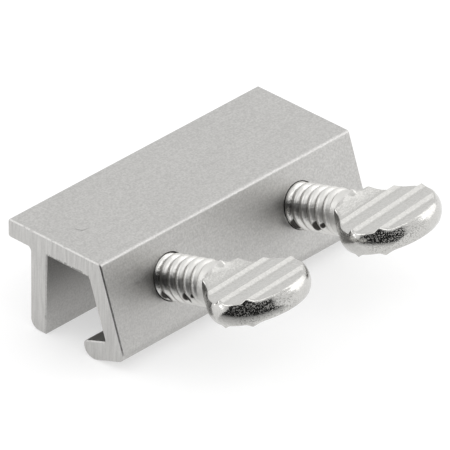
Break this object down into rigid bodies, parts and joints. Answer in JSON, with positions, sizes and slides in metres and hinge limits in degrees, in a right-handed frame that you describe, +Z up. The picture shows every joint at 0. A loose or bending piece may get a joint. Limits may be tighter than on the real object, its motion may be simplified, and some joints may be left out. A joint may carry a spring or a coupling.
{
  "type": "sliding door track lock",
  "caption": "Aluminium channel that hooks over a sliding door's track rail, with spade-headed thumbscrews in its slanted leg that pinch the rail and block the door.",
  "frame": {"origin": "middle of the rail seat, the flat underside of the web between the two legs", "axes": "+X along the channel, +Y from the slanted screw leg to the straight back leg, +Z up; the door rail comes in from below"},
  "size_m": [0.035, 0.0299, 0.0124],
  "materials": {
    "extruded_aluminium": "fine satin as it leaves the die, ends sawn",
    "plated_steel": "bright plating over a forged head and a cut thread"
  },
  "bodies": {
    "channel": {"lock_body": "extruded_aluminium"},
    "left_screw": {"thumbscrew_left": "plated_steel"},
    "right_screw": {"thumbscrew_right": "plated_steel"}
  },
  "joints": [
    {"name": "left_screw_travel", "type": "slide", "parent": "channel", "child": "left_screw", "axis": [0, -0.9625, 0.2714], "range_m": [-0.00503, 0.00106]},
    {"name": "right_screw_travel", "type": "slide", "parent": "channel", "child": "right_screw", "axis": [0, -0.9625, 0.2714], "range_m": [-0.00529, 0.00106]}
  ]
}
